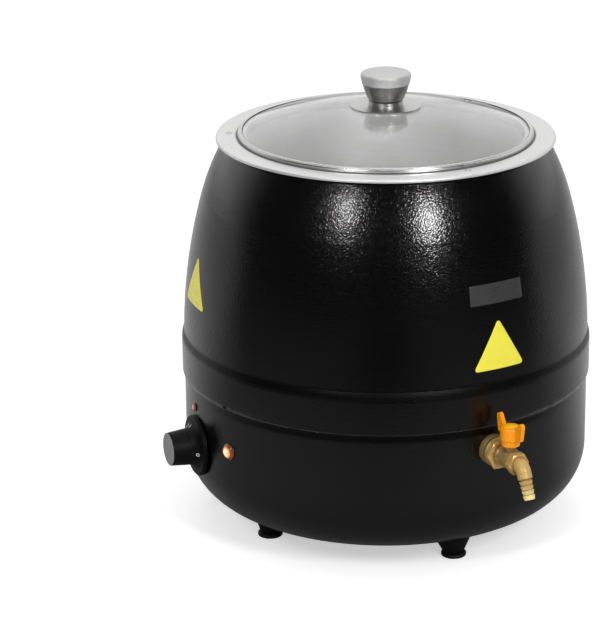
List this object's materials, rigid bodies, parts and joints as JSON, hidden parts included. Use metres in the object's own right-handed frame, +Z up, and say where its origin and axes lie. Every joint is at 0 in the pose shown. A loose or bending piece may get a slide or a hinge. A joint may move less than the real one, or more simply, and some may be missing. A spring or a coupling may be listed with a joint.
{
  "type": "soup kettle",
  "caption": "Electric soup kettle: a black barrel-shaped body on feet with a lift-out steel pot, a domed glass lid, a turning thermostat dial and a brass drain tap with a quarter-turn lever.",
  "frame": {"origin": "on the floor plane under the kettle's axis, level with the soles of the feet", "axes": "+Z up along the kettle's axis; the tap points along -Y; +X is to the right for a person who faces the tap"},
  "size_m": [0.3812, 0.4324, 0.4043],
  "materials": {
    "shell_coat": "black textured powder coat",
    "cover_coat": "dark painted sheet",
    "pot_steel": "spun stainless steel",
    "rim_steel": "satin stainless steel",
    "rivet_steel": "plain stainless steel",
    "lid_steel": "polished stainless steel",
    "lid_glass": "clear tempered glass",
    "knob_steel": "turned stainless steel",
    "foot_rubber": "matt black rubber",
    "foot_plastic": "black moulded plastic",
    "zinc_steel": "zinc-plated steel",
    "silicone": "translucent silicone",
    "dial_plastic": "black moulded plastic with a fine grain",
    "knob_plastic": "black moulded plastic with a grey face",
    "control_steel": "plated steel case",
    "copper_tube": "copper bulb and tube",
    "amber_lens": "lit amber lens",
    "red_lens": "dark red lens",
    "lamp_plastic": "black lamp holder",
    "plate_aluminium": "rolled aluminium",
    "element_steel": "heat-stained steel sheath",
    "ceramic": "cream ceramic",
    "terminal_plastic": "ivory plastic",
    "gland_plastic": "black nylon",
    "brass": "machined brass",
    "dark_brass": "dull aged brass",
    "valve_brass": "machined brass",
    "pale_brass": "bright pale brass",
    "seat_plastic": "white sealing plastic",
    "ball_chrome": "chrome-plated ball",
    "lever_plastic": "orange moulded plastic"
  },
  "bodies": {
    "kettle": {"upper_shell": "shell_coat", "lower_shell": "shell_coat", "bottom_cover": "cover_coat", "bottom_cover_screws": "zinc_steel", "inner_pot": "pot_steel", "pot_gasket": "silicone", "rim_ring": "rim_steel", "rim_rivets": "rivet_steel", "foot_legs": "foot_plastic", "foot_pads": "foot_rubber", "foot_screws": "zinc_steel", "foot_nuts": "zinc_steel", "dial_plate": "dial_plastic", "thermostat_body": "control_steel", "thermostat_nut": "zinc_steel", "thermostat_bulb": "copper_tube", "pilot_lamp_lens": "amber_lens", "pilot_lamp_body": "lamp_plastic", "heat_lamp_lens": "red_lens", "heat_lamp_body": "lamp_plastic", "heater_plate": "plate_aluminium", "heating_element": "element_steel", "heater_clamp": "zinc_steel", "clamp_nut": "zinc_steel", "thermal_cutout": "ceramic", "tie_rod": "zinc_steel", "tie_nut": "zinc_steel", "terminal_block": "terminal_plastic", "cable_gland": "gland_plastic", "gland_nut": "gland_plastic", "tap_pipe": "brass", "tap_pot_nut": "brass", "tap_pot_seals": "silicone", "tap_backing_nut": "brass", "tap_collar": "dark_brass", "tap_lock_nut": "brass", "tap_valve_body": "valve_brass", "tap_end_cap": "brass", "tap_seats": "seat_plastic", "tap_gland_nut": "brass", "tap_elbow": "pale_brass"},
    "lid": {"lid_glass": "lid_glass", "lid_band": "lid_steel", "lid_vent": "lid_steel", "knob_flange": "knob_steel", "knob_neck": "knob_steel", "knob_seal_ring": "foot_rubber", "lid_knob": "knob_steel", "lid_knob_cap": "knob_steel", "knob_washer": "silicone", "knob_screw": "zinc_steel"},
    "thermostat_dial": {"thermostat_knob": "knob_plastic", "thermostat_shaft": "zinc_steel"},
    "tap_handle": {"tap_lever": "lever_plastic", "tap_lever_cap": "lever_plastic", "tap_stem": "brass", "tap_ball": "ball_chrome"}
  },
  "joints": [
    {"name": "lid_lift", "type": "slide", "parent": "kettle", "child": "lid", "axis": [0, 0, 1], "range_m": [0, 0.15]},
    {"name": "thermostat_turn", "type": "hinge", "parent": "kettle", "child": "thermostat_dial", "pos_m": [-0.17489, 0.02147, 0.0885], "axis": [0.9925, -0.1219, 0], "range_deg": [0, 270]},
    {"name": "tap_turn", "type": "hinge", "parent": "kettle", "child": "tap_handle", "pos_m": [0, -0.2042, 0.119], "axis": [0, 0, 1], "range_deg": [0, 90]}
  ]
}
